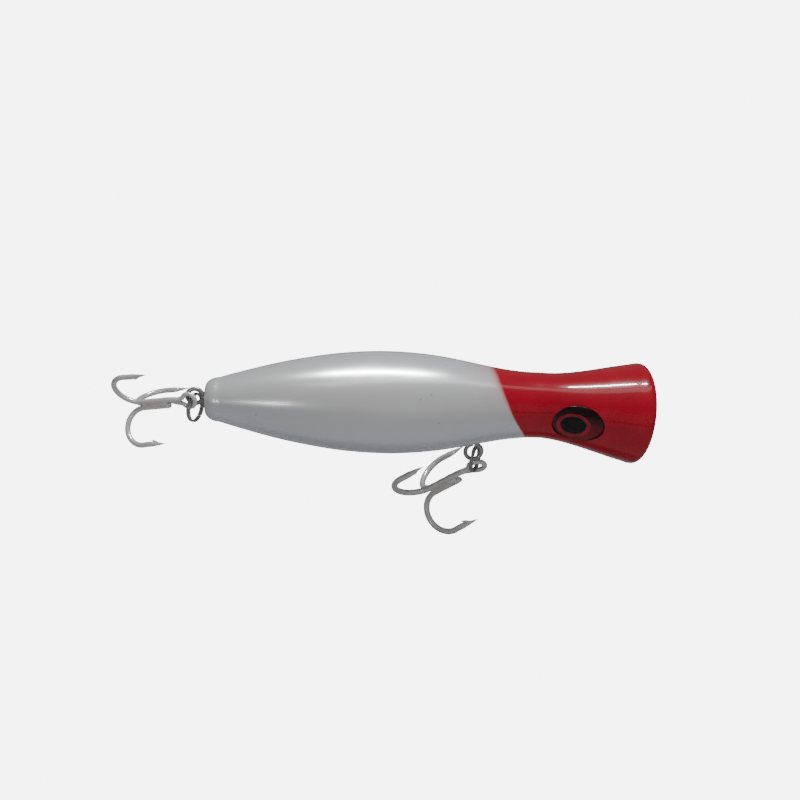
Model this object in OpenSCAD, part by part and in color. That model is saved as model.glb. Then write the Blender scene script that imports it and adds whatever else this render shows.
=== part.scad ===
// Topwater popper: two-piece hollow body, through-wire, rattles, eyes, split rings and trebles.
// Millimetres. +X is the swimming direction (mouth), +Z is the back, Y is across.
// The origin is the middle of the line tie, the wire eye inside the mouth cup.

/* [Part shown] */
// sub-part to build, or all of them

/* [Body] */
// distance from the tail face to the waist, where the head begins
waist_x = 110; // [95:1:125]
// body radius at the waist
waist_r = 11; // [9:0.1:13]
// body radius at the fullest part of the belly
belly_r = 16.95; // [14:0.05:20]
// flat radius of the tail face
tail_face_r = 4; // [3:0.1:6]
// radius of the mouth, at the outside of the lip
mouth_r = 17.1; // [15:0.1:20]
// length of the head from the waist to the widest part of the lip
head_len = 33; // [28:0.5:38]
// droop of the head below the body's axis, in degrees
head_droop = 4.2; // [0:0.1:8]
// shell wall
wall = 2; // [1.4:0.1:3]
// radius of the rolled lip
lip_r = 1.7; // [1:0.1:2.5]
// depth of the mouth cup from the front of the lip
cup_depth = 10.2; // [6:0.1:14]

/* [Through-wire] */
// wire diameter of the through-wire and the belly hanger
wire_d = 1.5; // [1:0.1:2]
// mean radius of the wire eyes
eye_r = 2.5; // [2:0.05:3.5]
// mean radius of the belly hanger's outer eye
belly_eye_r = 2.8; // [2:0.05:3.5]
// height of the tail eye above the axis
tail_eye_z = 1; // [0:0.1:2]
// distance of the tail eye behind the tail face
tail_eye_back = 3.3; // [2.8:0.1:5]
// distance of the belly hanger from the tail face
hanger_x = 89.5; // [80:0.5:100]
// depth of the belly eye below the axis
hanger_z = 17.6; // [15:0.1:18]

/* [Split rings] */
// mean radius of the coils
ring_r = 4.5; // [3.5:0.1:6]
// wire diameter of the coils
ring_wire = 0.8; // [0.6:0.02:1.2]

/* [Trebles] */
// wire diameter of the tail treble
hook_d = 1.8; // [1.2:0.1:2.4]
// distance from the treble's axis to the points
hook_reach = 13.5; // [10:0.1:16]
// length from the middle of the eye to the outside of the bend
hook_len = 24; // [22:0.1:40]
// length from the outside of the bend back to the point
hook_bite = 16; // [10:0.5:20]
// belly treble size against the tail treble
belly_scale = 1.25; // [1:0.01:1.3]

/* [Eyes] */
// length and height of the oval eye pocket
eye_len = 17; // [12:0.5:18]
eye_high = 12.8; // [9:0.1:14]
// distance of the eye ahead of the waist
eye_s = 13.6; // [10:0.1:20]

/* [Rattles and weights] */
// diameter of the rear and front rattle balls
ball_rear_d = 7; // [5:0.5:8]
ball_front_d = 5; // [4:0.5:6]
// lead cylinders
belly_weight_d = 9;
belly_weight_l = 22;
tail_weight_d = 6.6;
tail_weight_l = 14;

/* [Hidden] */
$fn = 48;
gap = 0.03;               // seat clearance between fixed pieces
tie_s = 28.6;             // line tie ahead of the waist, along the head's axis
tie = [waist_x + tie_s * cos(head_droop), 0, -tie_s * sin(head_droop)];
seat_d = wire_d + 2 * gap;
// belly treble posture and tail treble posture, in degrees
belly_lean = 32;
belly_ring_yaw = 22;
belly_ring_fwd = 16;
belly_pitch = 50;
tail_yaw = 21;
tail_pitch = 14;
tail_roll = 150;          // turn of each treble about its shank
belly_roll = 128;
tail_slip = 40;           // how far round the ring the tail treble's eye sits

// ---- curves -------------------------------------------------------------
// cubic between two stations [x, radius, slope]
function span(a, b, x) = let (h = b[0] - a[0], t = (x - a[0]) / h)
    a[1] * (1 + 2 * t) * (1 - t) * (1 - t) + b[1] * t * t * (3 - 2 * t)
    + h * (a[2] * t * (1 - t) * (1 - t) + b[2] * t * t * (t - 1));
function along(st, x, i = 0) =
    i >= len(st) - 2 || x <= st[i + 1][0] ? span(st[i], st[i + 1], x) : along(st, x, i + 1);

body_st = [[4.5, 7.3, 0.33], [14.3, 10.15, 0.275], [30, 13.9, 0.19], [44, 16.1, 0.11],
    [59, belly_r, 0], [74, 16.05, -0.115], [90, 13.3, -0.19], [101, 11.5, -0.115],
    [waist_x - 1, waist_r, 0]];
head_st = [[1, waist_r, 0], [12, 12.3, 0.195], [22, 14.6, 0.245],
    [30, 16.45, 0.2], [head_len, mouth_r, 0.1]];

function body_r(x) = x < 4.5 ? let (t = 1 - x / 4.5)
        tail_face_r + (7.3 - tail_face_r) * sqrt(1 - t * t)
    : x > waist_x - 1 ? waist_r : along(body_st, x);
function head_r(s) = s < 1 ? waist_r : along(head_st, s);

body_n = 34;
function body_x(i) = i < 5 ? 4.5 * (1 - cos(18 * i)) : 4.5 + (waist_x - 5.5) * (i - 5) / (body_n - 5);

// revolve a half-profile of [x, r] points about the X axis
module lathe(pts) rotate([0, 90, 0]) rotate([0, 0, 180])
    rotate_extrude() polygon([for (p = pts) [p[1], p[0]]]);

// everything ahead of the waist follows the drooping axis
module on_head() translate([waist_x, 0, 0]) rotate([0, head_droop, 0]) children();
// the plane that mitres body and head together at the waist
module mitre(front) translate([waist_x, 0, 0]) rotate([0, head_droop / 2, 0])
    translate([front ? 0 : -200, -30, -30]) cube([200, 60, 60]);

module body_blank(inset, x0, x1) intersection() {
    lathe(concat([[x0, 0]],
        [for (i = [0:body_n]) if (body_x(i) > x0 + 0.3 && body_x(i) < x1) [body_x(i), body_r(body_x(i)) - inset]],
        [[x1, waist_r - inset], [x1, 0]]));
    mitre(false);
}

lip_s = head_len + 0.3;
cup_r = mouth_r - 2 * lip_r;
cup_floor = lip_s + lip_r - cup_depth;
module head_blank() intersection() {
    on_head() lathe(concat([[-3, 0], [-3, waist_r], [1, waist_r]],
        [for (i = [1:14]) let (s = 1 + (head_len - 1) * i / 14) [s, head_r(s)]],
        [for (a = [20:20:160]) [lip_s + lip_r * sin(a), mouth_r - lip_r + lip_r * cos(a)]],
        [for (a = [0:10:90]) [lip_s - (lip_s - cup_floor) * sin(a), cup_r * cos(a)]]));
    mitre(true);
}
module outside() union() { body_blank(0, 0, waist_x + 3); head_blank(); }

// ---- shells ---------------------------------------------------------------
core_r = 6.8;             // radius of the hollow inside the head
tube_rear = [44, 72, 8.6];   // rear rattle tube: from, to, height above the axis
tube_front = [97, 118, 4.6]; // front rattle tube
module rod(x0, x1, r, y = 0, z = 0) translate([x0, y, z]) rotate([0, 90, 0]) cylinder(r = r, h = x1 - x0);
module slab(x0, x1) translate([x0, -20, -20]) cube([x1 - x0, 40, 40]);

// the hollow, less the ribs and rattle tubes moulded across it
module hollow() difference() {
    union() {
        body_blank(wall, 3.2, waist_x + 3);
        intersection() { on_head() rod(-2, 20, core_r); mitre(true); }
    }
    slab(7.5, 9); slab(19, 20.6); slab(35, 36.6); slab(54, 56);
    slab(77, 79); slab(hanger_x - 3.2, hanger_x + 3.2); slab(108, 109.6);
    rod(tube_rear[0] - 1.2, tube_rear[1] + 1.2, ball_rear_d / 2 + 1.3, 0, tube_rear[2]);
    rod(tube_front[0] - 1.2, tube_front[1] + 1.2, ball_front_d / 2 + 1.2, 0, tube_front[2]);
}

// channel for the through-wire, straight in the body and drooping in the head
module wire_path(r, x0, s1) union() {
    rod(x0, waist_x, r);
    translate([waist_x, 0, 0]) sphere(r = r + 0.04);
    on_head() rod(0, s1, r);
}

// eye pocket frame: outward axis is local +Z, local X runs along the body
module at_eye(side) on_head() translate([eye_s, 0, 0]) rotate([-side * 6, 0, 0])
    rotate([0, 0, side * 12.5]) rotate([side > 0 ? -90 : 90, 0, 0])
    children();
module oval(l, h, t) union() {
    for (k = [-1, 1]) translate([k * (l - h) / 2, 0, 0]) cylinder(r = h / 2, h = t);
    translate([-(l - h) / 2, -h / 2, 0]) cube([l - h, h, t]);
}
eye_floor = 10.4;        // distance of the pocket floor from the head's axis

peg_at = [[13.5, 5.4], [40, -10.5], [82, -8.8], [80.5, 9.8], [101.5, -7.2]];
module pegs(d, l0, l1) for (p = peg_at) translate([p[0], l0, p[1]]) rotate([-90, 0, 0]) cylinder(r = d / 2, h = l1 - l0);
module peg_posts() intersection() {
    body_blank(1, 1, waist_x);
    for (p = peg_at) translate([p[0], -30, p[1]]) rotate([-90, 0, 0]) cylinder(r = 2.1, h = 60);
}

module shell(side) difference() {
    union() {
        difference() { outside(); hollow(); }
        peg_posts();
    }
    // only this side of the parting plane
    translate([-10, side > 0 ? -40 : 0, -40]) cube([180, 40, 80]);
    wire_path(seat_d / 2, -2, cup_floor + 2);
    // belly hanger: shank channel and the slot for its upper eye
    translate([hanger_x, 0, -20]) cylinder(r = seat_d / 2, h = 18);
    rod(hanger_x - wire_d / 2 - 0.1, hanger_x + wire_d / 2 + 0.1, 2.95);
    translate([hanger_x, 0, -hanger_z]) rotate([90, 0, 0])
        cylinder(r = belly_eye_r + wire_d / 2 + 0.1, h = wire_d + 2 * 0.1, center = true);
    // seats of the weights, and the rattle tubes
    rod(66 - belly_weight_l / 2 - 0.1, 66 + belly_weight_l / 2 + 0.1, belly_weight_d / 2 + gap, 0, -8);
    rod(28 - tail_weight_l / 2 - 0.1, 28 + tail_weight_l / 2 + 0.1, tail_weight_d / 2 + gap, 0, -5.6);
    rod(tube_rear[0], tube_rear[1], ball_rear_d / 2 + 0.15, 0, tube_rear[2]);
    rod(tube_front[0], tube_front[1], ball_front_d / 2 + 0.15, 0, tube_front[2]);
    // alignment holes in the right shell only
    if (side < 0) pegs(2.5, -3.2, 1);
    at_eye(side) translate([0, 0, eye_floor]) oval(eye_len, eye_high, 12);
}

module at_frame() translate(-tie) children();

module left_shell() color("white") at_frame() union() { shell(1); pegs(2.4, -2.8, 1.2); }
module right_shell() color("white") at_frame() shell(-1);

// ---- wire work --------------------------------------------------------------
module ring(r, d) rotate_extrude() translate([r, 0]) circle(r = d / 2, $fn = 24);
module through_wire() color("silver") at_frame() union() {
    wire_path(wire_d / 2, -tail_eye_back + eye_r - 0.1, tie_s - eye_r + 0.1);
    translate([-tail_eye_back, 0, tail_eye_z]) rotate([90, 0, 0]) ring(eye_r, wire_d);
    on_head() translate([tie_s, 0, 0]) rotate([90, 0, 0]) ring(eye_r, wire_d);
}
module belly_hanger() color("silver") at_frame() union() {
    translate([hanger_x, 0, 0]) rotate([0, 90, 0]) ring(2.05, wire_d * 0.85);
    translate([hanger_x, 0, -hanger_z + belly_eye_r]) cylinder(r = wire_d / 2, h = hanger_z - belly_eye_r - 2.05);
    translate([hanger_x, 0, -hanger_z]) rotate([90, 0, 0]) ring(belly_eye_r, wire_d);
}

// a split ring: two coils side by side, each with its own cut end
module split_ring() difference() {
    rotate_extrude() union() {
        for (k = [-1, 1]) translate([ring_r, k * ring_wire * 0.45]) circle(r = ring_wire / 2, $fn = 24);
        translate([ring_r - ring_wire * 0.2, -ring_wire * 0.3]) square([ring_wire * 0.4, ring_wire * 0.6]);
    }
    rotate([0, 0, 205]) translate([ring_r - 1, -0.15, ring_wire * 0.1]) cube([2, 0.3, 2]);
    rotate([0, 0, 235]) translate([ring_r - 1, -0.15, -2 - ring_wire * 0.1]) cube([2, 0.3, 2]);
}
// hangs from its top, which is the origin; the coils turn about local X
module hung_ring() translate([0, 0, -ring_r]) rotate([0, 90, 0]) split_ring();

// ---- weights and rattles ----------------------------------------------------
module belly_weight() color("gray") at_frame() rod(66 - belly_weight_l / 2, 66 + belly_weight_l / 2, belly_weight_d / 2, 0, -8);
module tail_weight() color("gray") at_frame() rod(28 - tail_weight_l / 2, 28 + tail_weight_l / 2, tail_weight_d / 2, 0, -5.6);
module rattle_ball_rear() color("silver") at_frame()
    translate([tube_rear[0] + ball_rear_d / 2 + 0.2, 0, tube_rear[2]]) sphere(r = ball_rear_d / 2);
module rattle_ball_front() color("silver") at_frame()
    translate([tube_front[0] + ball_front_d / 2 + 0.2, 0, tube_front[2]]) sphere(r = ball_front_d / 2);

// ---- eyes -------------------------------------------------------------------
iris_off = [-1.3, -1.0];  // the iris sits low and to the rear of the pocket
iris_t = 0.7;
module eye_parts(side, what) at_frame() at_eye(side) translate([0, 0, eye_floor]) {
    flip = side > 0 ? 1 : -1;
    if (what == "iris") difference() {
        union() {
            translate([0, 0, 0.01]) oval(eye_len - 0.1, eye_high - 0.1, 0.5);
            translate([iris_off[0], flip * iris_off[1] * -1, 0.4]) oval(11.5, 8.6, iris_t - 0.4);
        }
        translate([iris_off[0], flip * iris_off[1] * -1, 0.3]) oval(8.2, 6.1, 3);
    }
    if (what == "pupil") translate([iris_off[0], flip * iris_off[1] * -1, 0.31]) oval(8.1, 6, 0.6);
    if (what == "lens") difference() {
        intersection() {
            translate([0, 0, 0.52]) oval(eye_len - 0.1, eye_high - 0.1, 4);
            translate([-12, 0, -14.05]) rotate([0, 90, 0]) cylinder(r = 16, h = 24, $fn = 240);
        }
        translate([iris_off[0], flip * iris_off[1] * -1, 0]) oval(11.6, 8.7, 0.93);
    }
}
module left_iris() color("darkred") eye_parts(1, "iris");
module left_pupil() color("black") eye_parts(1, "pupil");
module left_lens() color("lightblue") eye_parts(1, "lens");
module right_iris() color("darkred") eye_parts(-1, "iris");
module right_pupil() color("black") eye_parts(-1, "pupil");
module right_lens() color("lightblue") eye_parts(-1, "lens");

// ---- trebles ----------------------------------------------------------------
// a treble lies along local -X from the middle of its eye; hook k leans out along its own angle
lay = (hook_d + 0.2) / sqrt(3);              // each wire's distance from the treble's axis
bend_r = (hook_reach - lay) / 2;
bend_u = hook_len - hook_d / 2 - bend_r;     // where the bend begins
tip_u = hook_len - hook_bite;
point_l = 5.5;
// one hook in the local XZ plane, bending towards +Z
module hook_wire(u0) union() {
    translate([-bend_u, 0, lay]) rotate([0, 90, 0]) cylinder(r = hook_d / 2, h = bend_u - u0);
    translate([-bend_u, 0, lay + bend_r]) rotate([90, 0, 0]) rotate([0, 0, 90])
        rotate_extrude(angle = 180) translate([bend_r, 0]) circle(r = hook_d / 2, $fn = 24);
    translate([-bend_u, 0, hook_reach]) rotate([0, 90, 0]) {
        cylinder(r = hook_d / 2, h = bend_u - tip_u - point_l);
        translate([0, 0, bend_u - tip_u - point_l]) cylinder(r1 = hook_d / 2, r2 = 0.06, h = point_l);
    }
    // barb, on the inner side of the point
    translate([-tip_u - point_l + 0.4, 0, hook_reach - 0.45]) rotate([0, 62, 0]) cylinder(r1 = 0.5, r2 = 0.05, h = 1.9);
}
module around(a) rotate([a, 0, 0]) children();
eye_mean = 2.25;
module hook_pair(roll) union() {
    rotate([90, 0, 0]) ring(eye_mean, 1.5);
    for (a = [120, 240]) around(a + roll) hook_wire(5.2);
    // neck from the eye down to the two shanks
    rotate([0, -90, 0]) translate([0, 0, eye_mean - 0.2]) cylinder(r1 = 0.8, r2 = 1.5, h = 4.3);
}
module hook_single(roll) around(roll) hook_wire(6.8);
module hook_braze(roll) difference() {
    translate([-bend_u + 1, 0, 0]) rotate([0, 90, 0]) cylinder(r = 1.45, h = bend_u - 8);
    for (a = [0, 120, 240]) around(a + roll) translate([-bend_u, 0, lay]) rotate([0, 90, 0])
        cylinder(r = hook_d / 2 + 0.01, h = bend_u);
}

// tail linkage: the ring hangs in the tail eye, the treble rides the ring beside it
tail_top = [-tail_eye_back - 0.1, 0, tail_eye_z + 0.5];
module at_tail() at_frame() translate(tail_top) rotate([0, 0, -tail_yaw]) children();
module at_tail_hook() at_tail()
    translate([-0.55, -ring_r * sin(tail_slip), -ring_r * (1 - cos(tail_slip))]) rotate([0, -tail_pitch, 0]) children();
module tail_split_ring() color("silver") at_tail() hung_ring();
module tail_hook_pair() color("silver") at_tail_hook() hook_pair(tail_roll);
module tail_hook_single() color("silver") at_tail_hook() hook_single(tail_roll);
module tail_hook_braze() color("goldenrod") at_tail_hook() hook_braze(tail_roll);

// belly linkage: the ring leans in the belly eye, the treble hangs at the ring's foot
belly_top = [hanger_x, 0, -hanger_z - 0.25];
module at_belly() at_frame() translate(belly_top) rotate([belly_lean, 0, 0])
    rotate([0, -belly_ring_fwd, 0]) children();
module at_belly_hook() at_belly() translate([0, 0, -2 * ring_r - 0.4])
    rotate([0, belly_ring_fwd - belly_pitch, 0]) scale(belly_scale) children();
module belly_split_ring() color("silver") at_belly() rotate([0, 0, -belly_ring_yaw]) hung_ring();
module belly_hook_pair() color("silver") at_belly_hook() hook_pair(belly_roll);
module belly_hook_single() color("silver") at_belly_hook() hook_single(belly_roll);
module belly_hook_braze() color("goldenrod") at_belly_hook() hook_braze(belly_roll);

left_shell();
right_shell();
through_wire();
belly_hanger();
belly_weight();
tail_weight();
rattle_ball_rear();
rattle_ball_front();
left_iris();
left_pupil();
left_lens();
right_iris();
right_pupil();
right_lens();
tail_split_ring();
tail_hook_pair();
tail_hook_single();
tail_hook_braze();
belly_split_ring();
belly_hook_pair();
belly_hook_single();
belly_hook_braze();
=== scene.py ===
import math

import bpy
from mathutils import Matrix, Vector


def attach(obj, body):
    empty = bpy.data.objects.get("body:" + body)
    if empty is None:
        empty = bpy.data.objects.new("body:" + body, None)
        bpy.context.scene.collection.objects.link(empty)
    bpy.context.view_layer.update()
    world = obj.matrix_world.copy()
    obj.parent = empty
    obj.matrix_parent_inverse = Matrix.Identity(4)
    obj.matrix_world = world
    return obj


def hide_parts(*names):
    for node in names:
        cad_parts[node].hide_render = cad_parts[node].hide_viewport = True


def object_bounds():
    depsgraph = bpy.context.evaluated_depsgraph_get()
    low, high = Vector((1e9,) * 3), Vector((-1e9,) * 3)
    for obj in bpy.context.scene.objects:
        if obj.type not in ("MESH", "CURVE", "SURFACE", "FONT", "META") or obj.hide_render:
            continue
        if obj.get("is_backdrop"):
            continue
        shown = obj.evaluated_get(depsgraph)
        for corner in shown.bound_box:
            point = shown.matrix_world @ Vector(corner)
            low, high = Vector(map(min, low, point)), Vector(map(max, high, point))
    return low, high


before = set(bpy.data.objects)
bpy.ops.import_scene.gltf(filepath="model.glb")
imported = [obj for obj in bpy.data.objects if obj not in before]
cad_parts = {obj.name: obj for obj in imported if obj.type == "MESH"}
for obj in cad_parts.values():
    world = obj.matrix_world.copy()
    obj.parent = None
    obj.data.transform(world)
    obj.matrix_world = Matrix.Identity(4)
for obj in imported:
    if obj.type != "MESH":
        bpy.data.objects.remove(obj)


def note_size(key, data={}):
    data[key] = [list(v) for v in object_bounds()]


note_size("cad")

MM = 0.001
rad = math.radians


def rot(axis, deg):
    return Matrix.Rotation(rad(deg), 4, axis)


def shift(x, y, z):
    return Matrix.Translation(Vector((x, y, z)))


# ---- the design, in millimetres from the tail face ---------------------------
WAIST, WAIST_R, DROOP, MOUTH_R, HEAD = 110.0, 11.0, 4.2, 17.1, 33.0
LIP_R, LIP_S = 1.7, 33.3
CUP_DEPTH = 10.2
CUP_R, FLOOR = MOUTH_R - 2 * LIP_R, LIP_S + LIP_R - CUP_DEPTH
TIE_S = 28.6
TIE = Vector((WAIST + TIE_S * math.cos(rad(DROOP)), 0, -TIE_S * math.sin(rad(DROOP))))
TO_FRAME = Matrix.Scale(MM, 4) @ Matrix.Translation(-TIE)
ON_HEAD = shift(WAIST, 0, 0) @ rot("Y", DROOP)
BEND = 5.0  # the centre line bends over this far each side of the waist
SEAM = 0.09  # depth of the hairline step at the parting line
WIRE, EYE_R, BELLY_EYE_R, RING_R, COIL = 1.5, 2.5, 2.8, 4.5, 0.8
HANGER_X, HANGER_Z = 89.5, 17.6
TAIL_BACK, TAIL_Z = 3.3, 1.0
# how the rings and trebles hang, in degrees; slip is how far round its ring the tail treble sits
TAIL_YAW, TAIL_SLIP, TAIL_PITCH, TAIL_ROLL = 21, 40, 14, 150
BELLY_LEAN, BELLY_FWD, BELLY_YAW, BELLY_PITCH, BELLY_ROLL = 32, 16, 22, 34, 128
BELLY_SCALE = 1.25

TAIL_L = 4.5  # length of the rounded tail end
# stations of the profile: where, radius, slope
BODY_ST = [(TAIL_L, 7.3, 0.33), (14.3, 10.15, 0.275), (30, 13.9, 0.19), (44, 16.1, 0.11),
           (59, 16.95, 0), (74, 16.05, -0.115), (90, 13.3, -0.19), (101, 11.5, -0.115),
           (109, 11.0, 0)]
HEAD_ST = [(1, 11.0, 0), (12, 12.3, 0.195), (22, 14.6, 0.245), (30, 16.45, 0.2), (33, 17.1, 0.1)]


def along(st, x):
    for a, b in zip(st, st[1:]):
        if x <= b[0]:
            break
    h = b[0] - a[0]
    t = (x - a[0]) / h
    return (a[1] * (1 + 2 * t) * (1 - t) ** 2 + b[1] * t * t * (3 - 2 * t)
            + h * (a[2] * t * (1 - t) ** 2 + b[2] * t * t * (t - 1)))


def body_r(x):
    if x < TAIL_L:
        t = 1 - x / TAIL_L
        return 4.0 + 3.3 * math.sqrt(max(0.0, 1 - t * t))
    return along(BODY_ST, x) if x < 109 else WAIST_R


def head_r(s):
    return WAIST_R if s < 1 else along(HEAD_ST, s)


# ---- meshes -------------------------------------------------------------------
def make(name, verts, faces, mat, body, node, smooth=True):
    me = bpy.data.meshes.new(name)
    me.from_pydata([tuple(v) for v in verts], [], faces)
    me.update()
    if smooth:
        me.polygons.foreach_set("use_smooth", [True] * len(me.polygons))
    ob = bpy.data.objects.new(name, me)
    bpy.context.scene.collection.objects.link(ob)
    me.materials.append(mat)
    if body:
        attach(ob, body)
    for n in ([node] if isinstance(node, str) else node or []):
        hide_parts(n)
    return ob


def grid_faces(rows, cols, closed, base=0):
    out = []
    for i in range(rows - 1):
        for j in range(cols if closed else cols - 1):
            k = (j + 1) % cols
            out.append((base + i * cols + j, base + i * cols + k,
                        base + (i + 1) * cols + k, base + (i + 1) * cols + j))
    return out


class Sweep:
    """Tubes along paths, gathered into one mesh."""

    def __init__(self):
        self.v, self.f = [], []

    def tube(self, path, radius, sides=20, closed=False):
        path = [Vector(p) for p in path]
        n = len(path)
        rr = radius if isinstance(radius, (list, tuple)) else [radius] * n
        tang = []
        for i in range(n):
            a = path[(i - 1) % n] if closed else path[max(i - 1, 0)]
            b = path[(i + 1) % n] if closed else path[min(i + 1, n - 1)]
            tang.append((b - a).normalized())
        side = tang[0].orthogonal().normalized()
        base = len(self.v)
        for i in range(n):
            side = (side - tang[i] * side.dot(tang[i])).normalized()
            other = tang[i].cross(side)
            for k in range(sides):
                t = 2 * math.pi * k / sides
                self.v.append(path[i] + (side * math.cos(t) + other * math.sin(t)) * rr[i])
        self.f += grid_faces(n, sides, True, base)
        if closed:
            last = base + (n - 1) * sides
            # match the seam by the nearest vertex
            off = min(range(sides), key=lambda q: (self.v[base + q] - self.v[last]).length)
            for k in range(sides):
                a, b = k, (k + 1) % sides
                self.f.append((last + a, last + b, base + (b + off) % sides, base + (a + off) % sides))
        else:
            for end, ring in ((path[0], base), (path[-1], base + (n - 1) * sides)):
                self.v.append(end)
                c = len(self.v) - 1
                for k in range(sides):
                    a, b = ring + k, ring + (k + 1) % sides
                    self.f.append((b, a, c) if ring == base else (a, b, c))

    def build(self, name, m, mat, body, node):
        m = TO_FRAME @ m
        return make(name, [m @ v for v in self.v], self.f, mat, body, node)


def smooth_path(pts, per=8):
    """Catmull-Rom through a few points."""
    pts = [Vector(p) for p in pts]
    ext = [pts[0] * 2 - pts[1]] + pts + [pts[-1] * 2 - pts[-2]]
    out = []
    for i in range(1, len(ext) - 2):
        a, b, c, d = ext[i - 1:i + 3]
        for k in range(per):
            t = k / per
            out.append(0.5 * ((2 * b) + (c - a) * t + (2 * a - 5 * b + 4 * c - d) * t * t
                              + (3 * b - a - 3 * c + d) * t ** 3))
    out.append(pts[-1])
    return out


# ---- materials ------------------------------------------------------------------
class Mat:
    def __init__(self, name):
        self.m = bpy.data.materials.new(name)
        self.m.use_nodes = True
        self.t = self.m.node_tree
        self.b = self.t.nodes["Principled BSDF"]

    def node(self, kind, **props):
        n = self.t.nodes.new(kind)
        for k, v in props.items():
            setattr(n, k, v)
        return n

    def link(self, a, b):
        self.t.links.new(a, b)

    def put(self, **vals):
        for k, v in vals.items():
            self.b.inputs[k.replace("_", " ")].default_value = v
        return self

    def math(self, op, a, b=None, clamp=False):
        n = self.node("ShaderNodeMath", operation=op, use_clamp=clamp)
        for i, x in enumerate((a, b)):
            if x is None:
                continue
            if hasattr(x, "is_output"):
                self.link(x, n.inputs[i])
            else:
                n.inputs[i].default_value = x
        return n.outputs[0]

    def coord(self):
        return self.node("ShaderNodeTexCoord").outputs["Object"]

    def noise(self, scale, detail=3.0, rough=0.5):
        n = self.node("ShaderNodeTexNoise")
        n.inputs["Scale"].default_value = scale
        n.inputs["Detail"].default_value = detail
        n.inputs["Roughness"].default_value = rough
        self.link(self.coord(), n.inputs["Vector"])
        return n.outputs["Fac"]

    def ramp(self, fac, stops):
        n = self.node("ShaderNodeValToRGB")
        e = n.color_ramp.elements
        while len(e) > len(stops):
            e.remove(e[-1])
        while len(e) < len(stops):
            e.new(0.5)
        for el, (p, c) in zip(e, stops):
            el.position = p
            el.color = (*c, 1) if len(c) == 3 else c
        self.link(fac, n.inputs[0])
        return n.outputs[0]

    def mix(self, fac, a, b):
        n = self.node("ShaderNodeMix", data_type="RGBA")
        for sock, x in ((n.inputs[0], fac), (n.inputs[6], a), (n.inputs[7], b)):
            if hasattr(x, "is_output"):
                self.link(x, sock)
            else:
                sock.default_value = (*x, 1) if isinstance(x, tuple) else x
        return n.outputs[2]

    def bump(self, height, dist, strength=1.0):
        n = self.node("ShaderNodeBump")
        n.inputs["Distance"].default_value = dist
        n.inputs["Strength"].default_value = strength
        self.link(height, n.inputs["Height"])
        self.link(n.outputs[0], self.b.inputs["Normal"])


RED_FROM, RED_SLANT = 99.3, 7.2  # where the red starts at mid height, and its lean to each side


def body_paint():
    m = Mat("popper_paint")
    xyz = m.node("ShaderNodeSeparateXYZ")
    m.link(m.coord(), xyz.inputs[0])
    x, y, z = xyz.outputs
    zc = m.math("ADD", z, TIE.z * MM)
    r = m.math("SQRT", m.math("ADD", m.math("MULTIPLY", y, y), m.math("MULTIPLY", zc, zc)))
    up = m.math("DIVIDE", zc, m.math("MAXIMUM", r, 0.001))
    # distance ahead of the slanted edge of the red, in millimetres
    wave = m.math("MULTIPLY", m.math("SUBTRACT", m.noise(90, 2), 0.5), 1.2)
    edge = m.math("ADD", m.math("MULTIPLY", m.math("ADD", x, (TIE.x - RED_FROM) * MM), 1000),
                  m.math("MULTIPLY", up, RED_SLANT))
    edge = m.math("ADD", edge, wave)
    # a crisp mask at the belly that fades into overspray on the back
    width = m.math("ADD", m.math("MULTIPLY", m.math("MAXIMUM", up, 0.0), 1.6), 0.5)
    fac = m.math("ADD", m.math("DIVIDE", edge, m.math("MULTIPLY", width, 2.0)), 0.5, clamp=True)
    blush = m.math("MULTIPLY", m.math("ADD", m.math("DIVIDE", edge, 9.0), 1.0, clamp=True),
                   m.math("ADD", m.math("MULTIPLY", up, 0.16), 0.05, clamp=True))
    # painted light: the pearl is lighter towards the back and bluish towards the belly as a painted
    # reflection, with random mottle mixed in
    painted_light_and_mottle = m.math("ADD", m.math("MULTIPLY", up, 0.5), m.math("MULTIPLY", m.noise(38, 3), 0.5))
    pearl = m.ramp(painted_light_and_mottle, [(0.0, (0.52, 0.54, 0.585)), (0.45, (0.53, 0.53, 0.53)),
                           (0.8, (0.56, 0.575, 0.59))])
    pearl = m.mix(blush, pearl, (0.42, 0.12, 0.14))
    # a few pin-prick specks in the white
    v = m.node("ShaderNodeTexVoronoi")
    v.inputs["Scale"].default_value = 210
    m.link(m.coord(), v.inputs["Vector"])
    hits = m.math("MULTIPLY", m.math("LESS_THAN", v.outputs["Distance"], 0.075),
                  m.math("GREATER_THAN", m.noise(70, 0), 0.60))
    pearl = m.mix(m.math("MULTIPLY", hits, 0.45), pearl, (0.25, 0.25, 0.26))
    red = m.ramp(m.noise(55, 3), [(0.3, (0.155, 0.0005, 0.0060)), (0.7, (0.195, 0.0007, 0.0085))])
    m.link(m.mix(fac, pearl, red), m.b.inputs["Base Color"])
    m.link(m.math("ADD", m.math("MULTIPLY", m.noise(120, 4), 0.10), 0.19), m.b.inputs["Roughness"])
    m.link(m.math("MULTIPLY", m.math("SUBTRACT", 1.0, fac), 0.62), m.b.inputs["Metallic"])
    m.link(m.math("ADD", m.math("MULTIPLY", fac, 0.55), 0.3), m.b.inputs["Coat Weight"])
    m.put(Coat_Roughness=0.05, Coat_IOR=1.5, Specular_IOR_Level=0.18)
    m.bump(m.noise(46, 3), 0.00006, 0.5)
    return m.m


def steel(name, lo, hi, rough=(0.22, 0.42), scale=420, metal=1.0):
    m = Mat(name)
    m.link(m.ramp(m.noise(scale, 4, 0.6), [(0.32, lo), (0.68, hi)]), m.b.inputs["Base Color"])
    m.link(m.math("ADD", m.math("MULTIPLY", m.noise(scale * 1.7, 3), rough[1] - rough[0]), rough[0]),
           m.b.inputs["Roughness"])
    m.put(Metallic=metal)
    m.bump(m.noise(scale, 2), 0.00001, 0.1)
    return m.m


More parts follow.
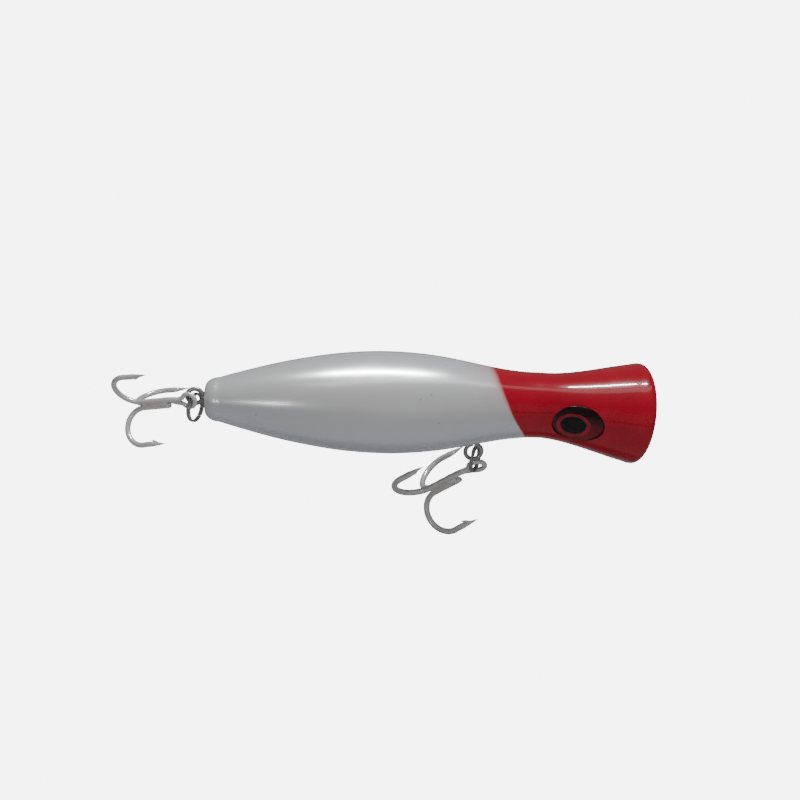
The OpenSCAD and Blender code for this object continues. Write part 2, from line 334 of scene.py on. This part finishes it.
def lens_mat():
    m = Mat("lens_resin")
    out = m.t.nodes["Material Output"]
    clear = m.node("ShaderNodeBsdfTransparent")
    clear.inputs[0].default_value = (0.90, 0.86, 0.87, 1)
    gloss = m.node("ShaderNodeBsdfGlossy")
    gloss.inputs["Roughness"].default_value = 0.04
    fres = m.node("ShaderNodeFresnel")
    fres.inputs[0].default_value = 1.5
    mx = m.node("ShaderNodeMixShader")
    shine = m.math("MULTIPLY", fres.outputs[0], 0.6)
    m.link(m.math("ADD", shine, m.math("MULTIPLY", m.noise(300, 2), 0.01)), mx.inputs[0])
    m.link(clear.outputs[0], mx.inputs[1])
    m.link(gloss.outputs[0], mx.inputs[2])
    m.link(mx.outputs[0], out.inputs[0])
    return m.m


def flat_mat(name, lo, hi, rough, scale=300, **vals):
    m = Mat(name)
    m.link(m.ramp(m.noise(scale, 3), [(0.3, lo), (0.7, hi)]), m.b.inputs["Base Color"])
    m.link(m.math("ADD", m.math("MULTIPLY", m.noise(scale * 2, 2), 0.08), rough),
           m.b.inputs["Roughness"])
    m.put(**vals)
    return m.m


PAINT = body_paint()
HOOK = steel("hook_tinned_steel", (0.50, 0.505, 0.51), (0.60, 0.60, 0.60), (0.17, 0.28), 160, 0.6)
RING = steel("ring_nickel", (0.20, 0.195, 0.195), (0.36, 0.355, 0.355), (0.18, 0.30), 200, 0.65)
STAIN = steel("stainless_wire", (0.22, 0.21, 0.21), (0.36, 0.35, 0.35), (0.2, 0.32), 200, 0.65)
BRAZE = steel("braze_bronze", (0.36, 0.325, 0.315), (0.48, 0.43, 0.42), (0.3, 0.5), 300, 0.4)
LEAD = steel("lead", (0.16, 0.165, 0.17), (0.27, 0.28, 0.29), (0.5, 0.7), 260)
BALL = steel("polished_ball", (0.55, 0.55, 0.56), (0.68, 0.68, 0.69), (0.05, 0.12), 200)


def socket_mat():
    """The floor and wall of the eye socket: wine red low down, with painted shade making it near black
    under its upper edge.
    """
    m = Mat("eye_foil_dark")
    xyz = m.node("ShaderNodeSeparateXYZ")
    m.link(m.coord(), xyz.inputs[0])
    # painted shade: darker towards the top of the socket, broken by random blotches
    up = m.math("MULTIPLY", m.math("ADD", xyz.outputs[2], 0.0035), 130, clamp=True)
    blotch = m.math("MULTIPLY", m.math("SUBTRACT", m.noise(260, 3), 0.5), 0.25)
    up = m.math("ADD", up, blotch, clamp=True)
    m.link(m.ramp(up, [(0.1, (0.17, 0.0015, 0.008)), (0.8, (0.012, 0.001, 0.002))]),
           m.b.inputs["Base Color"])
    m.link(m.math("ADD", m.math("MULTIPLY", m.noise(400, 2), 0.1), 0.35), m.b.inputs["Roughness"])
    m.put(Specular_IOR_Level=0.25)
    return m.m


FOIL_DARK = socket_mat()
FOIL_RED = flat_mat("eye_foil_red", (0.27, 0.006, 0.020), (0.37, 0.010, 0.030), 0.28, Metallic=0.2)
PUPIL = flat_mat("pupil_black", (0.0012, 0.0016, 0.0022), (0.003, 0.0036, 0.0044), 0.30,
                 Specular_IOR_Level=0.1)
LENS = lens_mat()


# ---- the two half shells ----------------------------------------------------------
def droop_at(x):
    """Share of the head's droop at x, eased over the waist so that no crease shows."""
    t = min(1.0, max(0.0, (x - (WAIST - BEND)) / (2 * BEND)))
    return t * t * (3 - 2 * t)


def skin_rows():
    """Where along the axis and how big round, from the tail over the lip to the cup's middle."""
    rows = [(0.0, r) for r in (0.8, 1.6, 2.6, 3.4, 3.85)]
    rows += [(x, body_r(x)) for x in (TAIL_L * (1 - math.cos(rad(a))) for a in range(4, 91, 6))]
    n = 118
    rows += [(x, body_r(x)) for x in (TAIL_L + (WAIST - TAIL_L) * i / n for i in range(1, n + 1))]
    n = 44
    rows += [(WAIST + HEAD * i / n, head_r(HEAD * i / n)) for i in range(1, n + 1)]
    lip = WAIST + LIP_S
    rows += [(lip + LIP_R * math.sin(rad(a)), MOUTH_R - LIP_R + LIP_R * math.cos(rad(a)))
             for a in range(12, 178, 12)]
    depth = LIP_S - FLOOR
    rows += [(lip - depth * math.sin(rad(a)), CUP_R * math.cos(rad(a))) for a in range(0, 90, 4)]
    rows += [(WAIST + FLOOR, 0.35)]
    return rows


def put_row(x, ang, r, side):
    """A skin point; ang runs from the back (+Z) down the side to the belly."""
    y, z = side * r * math.sin(ang), r * math.cos(ang)
    d = rad(DROOP) * droop_at(x)
    s = x - WAIST
    if s > -BEND:
        # centre line bends through the waist and then runs straight along the drooped axis
        t = (min(BEND, s) + BEND) / (2 * BEND)
        past = max(0.0, s - BEND)
        fall = 2 * BEND * rad(DROOP) * (t ** 3 - t ** 4 / 2) + past * math.sin(rad(DROOP))
        adv = s if s < BEND else BEND + past * math.cos(rad(DROOP))
        c = Vector((WAIST + adv, 0, -fall))
    else:
        c = Vector((x, 0, 0))
    return c + Vector((z * math.sin(d), y, z * math.cos(d)))


def at_eye(side):
    return (ON_HEAD @ shift(13.6, 0, 0) @ rot("X", -side * 6)
            @ rot("Z", side * 12.5) @ rot("X", -90 if side > 0 else 90))


EYE_FLOOR = 10.4
POCKET = (8.5, 6.4)  # half length and half height of the eye's socket


def ellipse_solid(rows, n=96):
    """rows of (half length, half height, z(x, y) or number): a closed lathe-like oval solid."""
    v = []
    for a, b, z in rows:
        for k in range(n):
            t = 2 * math.pi * k / n
            x, y = a * math.cos(t), b * math.sin(t)
            v.append(Vector((x, y, z(x, y) if callable(z) else z)))
    f = grid_faces(len(rows), n, True)
    f.append(tuple(range(n))[::-1])
    f.append(tuple(range((len(rows) - 1) * n, len(rows) * n)))
    return v, f


def half_shell(name, side):
    """One half of the skin, closed flat. Its hollow, ribs and rattle tubes are in the CAD only."""
    rows = skin_rows()
    n = 97
    v = []
    for x, r in rows:
        for j in range(n):
            ang = math.pi * j / (n - 1)
            q = r - (SEAM if j in (0, n - 1) else 0.0)
            v.append(TO_FRAME @ put_row(x, ang, max(q, 0.05), side))
    f = grid_faces(len(rows), n, False)
    if side < 0:
        f = [tuple(reversed(q)) for q in f]
    # close the half along the parting plane
    rim = [i * n for i in range(len(rows))] + [i * n + n - 1 for i in reversed(range(len(rows)))]
    f.append(tuple(rim if side > 0 else reversed(rim)))
    ob = make(name, v, f, PAINT, "lure_body", name)
    cv, cf = ellipse_solid([(*POCKET, EYE_FLOOR), (*POCKET, EYE_FLOOR + 8)])
    m = TO_FRAME @ at_eye(side)
    cut = bpy.data.meshes.new("pocket")
    cut.from_pydata([tuple(m @ p) for p in cv], [], cf)
    cutter = bpy.data.objects.new("pocket", cut)
    bpy.context.scene.collection.objects.link(cutter)
    cut.materials.append(FOIL_DARK)
    ob.data.materials.append(FOIL_DARK)
    mod = ob.modifiers.new("pocket", "BOOLEAN")
    mod.operation, mod.object, mod.solver = "DIFFERENCE", cutter, "EXACT"
    bpy.context.view_layer.update()
    done = bpy.data.meshes.new_from_object(ob.evaluated_get(bpy.context.evaluated_depsgraph_get()))
    ob.modifiers.clear()
    ob.data = done
    bpy.data.objects.remove(cutter)
    ob.data.set_sharp_from_angle(angle=rad(38))


half_shell("left_shell", 1)
half_shell("right_shell", -1)

# ---- eyes ---------------------------------------------------------------------------
IRIS = (-1.3, -1.0)  # where the iris sits in its socket
LENS_R, LENS_SINK = 16, 14.05


def eye(side, word):
    down = -1 if side < 0 else 1
    ox, oy = IRIS[0], -IRIS[1] * down
    m = TO_FRAME @ at_eye(side) @ shift(0, 0, EYE_FLOOR)

    def put(name, rows, off, mat, node, n=96):
        v, f = ellipse_solid(rows, n)
        at = Vector((off[0], off[1], 0))
        ob = make(name, [m @ (p + at) for p in v], f, mat, "lure_body", node)
        ob.data.set_sharp_from_angle(angle=rad(35))

    put(word + "_eye_foil", [(8.4, 6.3, 0.02), (8.4, 6.3, 0.42), (8.3, 6.2, 0.50)], (0, 0), FOIL_DARK,
        None)
    put(word + "_eye_iris", [(5.6, 4.2, 0.48), (5.6, 4.2, 0.62), (5.35, 3.95, 0.70),
                             (4.35, 3.3, 0.62), (4.3, 3.25, 0.5)],
        (ox, oy), FOIL_RED, word + "_iris")
    dome = [(4.0 * math.cos(rad(a)), 3.0 * math.cos(rad(a)), 0.58 + 0.33 * math.sin(rad(a)))
            for a in range(0, 88, 8)]
    put(word + "_eye_pupil", [(4.05, 3.05, 0.5)] + dome, (ox, oy), PUPIL,
        word + "_pupil")

    def top(x, y):
        return -LENS_SINK + math.sqrt(LENS_R ** 2 - y * y)

    rows = [(8.42, 6.32, 0.94), (8.42, 6.32, lambda x, y: top(x, y) - 0.12),
            (8.30, 6.20, lambda x, y: top(x, y) - 0.02)]
    rows += [(8.3 * k / 12, 6.2 * k / 12, top) for k in range(11, 0, -1)]
    put(word + "_eye_lens", rows, (0, 0), LENS, word + "_lens")


eye(1, "left")
eye(-1, "right")


# ---- wire work ------------------------------------------------------------------------
def loop(c, a0, a1, r, n=48):
    """Arc about c in the XZ plane; angles from +X towards +Z."""
    return [c + Vector((r * math.cos(rad(a0 + (a1 - a0) * k / n)), 0,
                        r * math.sin(rad(a0 + (a1 - a0) * k / n)))) for k in range(n + 1)]


w = Sweep()
ct = Vector((-TAIL_BACK, 0, TAIL_Z))
w.tube(loop(ct, -18, 338, EYE_R), WIRE / 2, 24)
w.tube([(-0.7, 0, 0.0), (20, 0, 0), (60, 0, 0), (WAIST - 1, 0, 0)], WIRE / 2, 20)
w.tube([ON_HEAD @ Vector((k, 0, 0)) for k in (-1, 5, 12, 20, TIE_S - EYE_R + 0.3)], WIRE / 2, 20)
w.tube([ON_HEAD @ p for p in loop(Vector((TIE_S, 0, 0)), 184, 536, EYE_R)], WIRE / 2, 24)
# two tight wraps where each eye closes
for base, x0, dirn in ((Matrix.Identity(4), -0.35, 1), (ON_HEAD, TIE_S - EYE_R - 1.1, -1)):
    helix = [base @ Vector((x0 + dirn * 1.25 * k / 40,
                            1.02 * math.cos(rad(18 * k)), 1.02 * math.sin(rad(18 * k))))
             for k in range(41)]
    w.tube(helix, 0.36, 12)
w.build("through_wire_bent", Matrix.Identity(4), STAIN, "lure_body", "through_wire")

h = Sweep()
h.tube([(HANGER_X, 2.05 * math.cos(rad(a)), 2.05 * math.sin(rad(a))) for a in range(0, 360, 8)],
       0.64, 16, closed=True)
h.tube([(HANGER_X, 0, z) for z in (-2.0, -6, -HANGER_Z + BELLY_EYE_R + 0.2)], 0.72, 16)
h.tube(loop(Vector((HANGER_X, 0, -HANGER_Z)), 95, 445, BELLY_EYE_R), WIRE / 2, 24)
h.build("belly_hanger_bent", Matrix.Identity(4), STAIN, "lure_body", "belly_hanger")


def split_ring(name, m, body, node):
    """Two full turns of wire, crossing over from one coil to the other; the wire is drawn round, not
    flattened.
    """
    s = Sweep()
    path, n = [], 150
    for k in range(n + 1):
        a = 205 + 714 * k / n
        t = min(1.0, max(0.0, (k / n - 0.455) / 0.09))
        z = COIL * 0.46 * (2 * (t * t * (3 - 2 * t)) - 1)
        path.append(Vector((RING_R * math.cos(rad(a)), RING_R * math.sin(rad(a)), z)))
    rr = [COIL * 0.485] * (n + 1)
    rr[0] = rr[-1] = COIL * 0.36
    s.tube(path, rr, 16)
    s.build(name, m @ shift(0, 0, -RING_R) @ rot("Y", 90), RING, body, node)


# ---- trebles -----------------------------------------------------------------------------
HD, REACH, LONG, BITE = 1.8, 13.5, 24.0, 16.0
LAY = (HD + 0.2) / math.sqrt(3)
BEND_R = (REACH - LAY) / 2
BEND_U = LONG - HD / 2 - BEND_R
TIP_U = LONG - BITE


def hook_leg(u0):
    """Centre line and radii of one hook in its own plane, from the shank round to the point."""
    pts = [Vector((-u0 - (BEND_U - u0) * k / 10, 0, LAY)) for k in range(10)]
    rr = [HD / 2] * 10
    for k in range(29):
        a = math.pi * k / 28
        pts.append(Vector((-BEND_U - BEND_R * math.sin(a), 0, LAY + BEND_R - BEND_R * math.cos(a))))
        rr.append(HD / 2)
    run = BEND_U - TIP_U
    for k in range(1, 17):
        t = k / 16
        taper = min(1.0, (1 - t) * run / 5.6)
        pts.append(Vector((-BEND_U + run * t, 0, REACH - 0.25 * math.sin(math.pi * t) * (1 - t))))
        rr.append(max(0.045, HD / 2 * taper ** 0.8))
    return pts, rr


def barb(s, m):
    """The sliver cut up from the inner side of the point."""
    u = TIP_U + 5.1
    root = Vector((-u + 1.5, 0, REACH - 0.45))
    tip = Vector((-u - 0.5, 0, REACH - 1.5))
    path = [root.lerp(tip, k / 6) + Vector((0, 0, -0.12 * math.sin(math.pi * k / 6))) for k in range(7)]
    s.tube([m @ q for q in path], [0.55, 0.50, 0.43, 0.35, 0.26, 0.16, 0.05], 12)


def treble(word, m, roll, body, scale):
    m = m @ Matrix.Scale(scale, 4)
    # the double: one wire, point to point, with the eye formed in its middle
    s = Sweep()
    legs = []
    for a in (120, 240):
        t = rot("X", a + roll)
        pts, rr = hook_leg(7.2)
        legs.append(([t @ p for p in pts], rr))
        barb(s, t)
    order = sorted((0, 1), key=lambda i: -legs[i][0][0].z)
    top, low = legs[order[0]], legs[order[1]]
    er = 2.25
    eye_pts = [Vector((er * math.cos(rad(a)), 0, er * math.sin(rad(a)))) for a in range(150, -151, -10)]
    neck_in = smooth_path([top[0][0], Vector((-5.0, top[0][0].y * 0.75, max(0.55, top[0][0].z * 0.85))),
                           Vector((-3.4, top[0][0].y * 0.3, 0.72)), eye_pts[0]], 6)
    neck_out = smooth_path([eye_pts[-1], Vector((-3.4, low[0][0].y * 0.3, -0.72)),
                            Vector((-5.0, low[0][0].y * 0.75, min(-0.55, low[0][0].z * 0.85))),
                            low[0][0]], 6)
    path = list(reversed(top[0]))[:-1] + neck_in[:-1] + eye_pts[1:-1] + neck_out[1:] + low[0][1:]
    er_w = 0.75
    n_in = len(neck_in) - 1
    n_out = len(neck_out) - 1
    rr = (list(reversed(top[1]))[:-1]
          + [HD / 2 + (er_w - HD / 2) * k / n_in for k in range(n_in)]
          + [er_w] * (len(eye_pts) - 2)
          + [er_w + (HD / 2 - er_w) * (k + 1) / n_out for k in range(n_out)]
          + low[1][1:])
    s.tube(path, rr, 20)
    s.build(word + "_treble_double", m, HOOK, body, word + "_hook_pair")
    # the single, laid in the groove between the two shanks
    s = Sweep()
    t = rot("X", roll)
    pts, rr = hook_leg(6.8)
    rr[0] = HD / 2 * 0.8
    s.tube([t @ p for p in pts], rr, 20)
    barb(s, t)
    s.build(word + "_treble_single", m, HOOK, body, word + "_hook_single")
    # the braze, filling the three grooves along the shanks
    s = Sweep()
    n, cols = 40, 48
    u0, u1 = 7.4, BEND_U + 0.6
    for i in range(n + 1):
        u = u0 + (u1 - u0) * i / n
        end = min(1.0, i / 3, (n - i) / 3) ** 0.5
        for k in range(cols):
            a = 360 * k / cols
            fill = 1.36 + 0.14 * math.cos(rad(3 * (a - roll - 60))) + 0.05 * math.sin(u * 1.9 + a / 40)
            q = max(0.1, fill * end)
            s.v.append(Vector((-u, -q * math.sin(rad(a)), q * math.cos(rad(a)))))
    s.f += grid_faces(n + 1, cols, True)
    s.build(word + "_treble_braze", m, BRAZE, body, word + "_hook_braze")


# the ring crosses each wire eye a little off its middle, so that the wires clear each other
tail_at = shift(-TAIL_BACK - 0.1, 0, TAIL_Z + 0.5) @ rot("Z", -TAIL_YAW)
split_ring("tail_ring_coils", tail_at, "tail_ring", "tail_split_ring")
on_ring = shift(-0.55, -RING_R * math.sin(rad(TAIL_SLIP)), -RING_R * (1 - math.cos(rad(TAIL_SLIP))))
treble("tail", tail_at @ on_ring @ rot("Y", -TAIL_PITCH), TAIL_ROLL, "tail_treble", 1.0)
belly_at = shift(HANGER_X, 0, -HANGER_Z - 0.25) @ rot("X", BELLY_LEAN) @ rot("Y", -BELLY_FWD)
split_ring("belly_ring_coils", belly_at @ rot("Z", -BELLY_YAW), "belly_ring", "belly_split_ring")
treble("belly", belly_at @ shift(0, 0, -2 * RING_R - 0.4) @ rot("Y", -BELLY_PITCH), BELLY_ROLL,
       "belly_treble", BELLY_SCALE)

# ---- what stays inside ---------------------------------------------------------------------
for node, mat, slot in (("belly_weight", LEAD, "lead"), ("tail_weight", LEAD, "lead"),
                        ("rattle_ball_rear", BALL, "steel_ball"),
                        ("rattle_ball_front", BALL, "steel_ball")):
    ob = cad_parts[node]
    ob.data.materials.clear()
    ob.data.materials.append(mat)

# ---- floor, camera and light ---------------------------------------------------------------
AIM_X, AIM_Z = 63.39, 0.87
MID = Vector((AIM_X - TIE.x, 0, AIM_Z - TIE.z)) * MM
BACKDROP = 6.5  # how bright the surround is to the camera


def pale(tree, out, dim, lit):
    """White to the camera, and a dimmer surround to everything that lights or mirrors the lure."""
    seen = tree.nodes.new("ShaderNodeEmission" if lit else "ShaderNodeBackground")
    seen.inputs[0].default_value, seen.inputs[1].default_value = (1, 1, 1, 1), BACKDROP
    path = tree.nodes.new("ShaderNodeLightPath")
    mixer = tree.nodes.new("ShaderNodeMixShader")
    tree.links.new(path.outputs["Is Camera Ray"], mixer.inputs[0])
    tree.links.new(dim, mixer.inputs[1])
    tree.links.new(seen.outputs[0], mixer.inputs[2])
    if lit:
        # open from below, so the underside can be looked at through the floor
        back = tree.nodes.new("ShaderNodeNewGeometry")
        clear = tree.nodes.new("ShaderNodeBsdfTransparent")
        both = tree.nodes.new("ShaderNodeMixShader")
        tree.links.new(back.outputs["Backfacing"], both.inputs[0])
        tree.links.new(mixer.outputs[0], both.inputs[1])
        tree.links.new(clear.outputs[0], both.inputs[2])
        mixer = both
    tree.links.new(mixer.outputs[0], out)


world = bpy.data.worlds.new("studio")
bpy.context.scene.world = world
world.use_nodes = True
wt = world.node_tree
bg = wt.nodes["Background"]
bg.inputs[0].default_value = (1, 1, 1, 1)
soft = wt.nodes.new("ShaderNodeLightPath")
level = wt.nodes.new("ShaderNodeMapRange")
level.inputs["To Min"].default_value, level.inputs["To Max"].default_value = 0.30, 0.14
wt.links.new(soft.outputs["Is Glossy Ray"], level.inputs["Value"])
wt.links.new(level.outputs[0], bg.inputs[1])
pale(wt, wt.nodes["World Output"].inputs[0], bg.outputs[0], False)

floor_mat = Mat("pale_floor")
near = floor_mat.ramp(floor_mat.noise(3, 2), [(0.3, (0.55, 0.55, 0.55)), (0.7, (0.58, 0.58, 0.58))])
mirrored = floor_mat.node("ShaderNodeLightPath").outputs["Is Glossy Ray"]
floor_mat.link(floor_mat.mix(mirrored, near, (0.10, 0.10, 0.10)),
               floor_mat.b.inputs["Base Color"])
floor_mat.put(Roughness=0.9)
pale(floor_mat.t, floor_mat.t.nodes["Material Output"].inputs[0], floor_mat.b.outputs[0], True)
FLOOR_Z, FLOOR_HALF = -0.062, 2
corners = [(x * FLOOR_HALF, y * FLOOR_HALF, FLOOR_Z) for x, y in ((-1, -1), (1, -1), (1, 1), (-1, 1))]
floor = make("pale_floor", corners, [(0, 1, 2, 3)], floor_mat.m, None, None, smooth=False)
floor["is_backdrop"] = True


def area(name, at, to, size, power, mirrored=True):
    d = bpy.data.lights.new(name, "AREA")
    d.shape, d.size, d.size_y, d.energy = "RECTANGLE", size[0], size[1], power
    ob = bpy.data.objects.new(name, d)
    bpy.context.scene.collection.objects.link(ob)
    ob.location = at
    ob.rotation_euler = (Vector(to) - Vector(at)).to_track_quat("-Z", "Y").to_euler()
    ob.visible_glossy = mirrored


area("key_soft", MID + Vector((0.0, -0.16, 0.42)), MID, (0.50, 0.30), 0.75, False)
area("top_strip", MID + Vector((0.0, 0.01, 0.45)), MID, (0.25, 0.022), 3.5)
area("upper_band", MID + Vector((0.05, -0.13, 0.42)), MID, (0.50, 0.07), 0.14)
area("low_fill", MID + Vector((0.1, -0.45, 0.02)), MID, (0.4, 0.3), 1.15, False)
area("tail_strip", MID + Vector((-0.25, -0.36, 0.08)), MID, (0.03, 0.02), 0.08)

cam_data = bpy.data.cameras.new("camera")
cam = bpy.data.objects.new("camera", cam_data)
bpy.context.scene.collection.objects.link(cam)
bpy.context.scene.camera = cam
DIST, AZ, EL, ROLL = 0.2837, 5.5, 22.1, 3.1
SENSOR, WIDE = 36, 0.2648  # the sensor's width, and the width seen at the lure
cam_data.sensor_width = SENSOR
cam_data.lens = SENSOR * DIST / WIDE
cam_data.clip_start = 0.005
away = Vector((-math.sin(rad(AZ)) * math.cos(rad(EL)), -math.cos(rad(AZ)) * math.cos(rad(EL)),
               math.sin(rad(EL))))
look = (-away).to_track_quat("-Z", "Y").to_matrix().to_4x4()
cam.matrix_world = Matrix.Translation(MID + away * DIST) @ look @ rot("Z", ROLL)

note_size("visual")
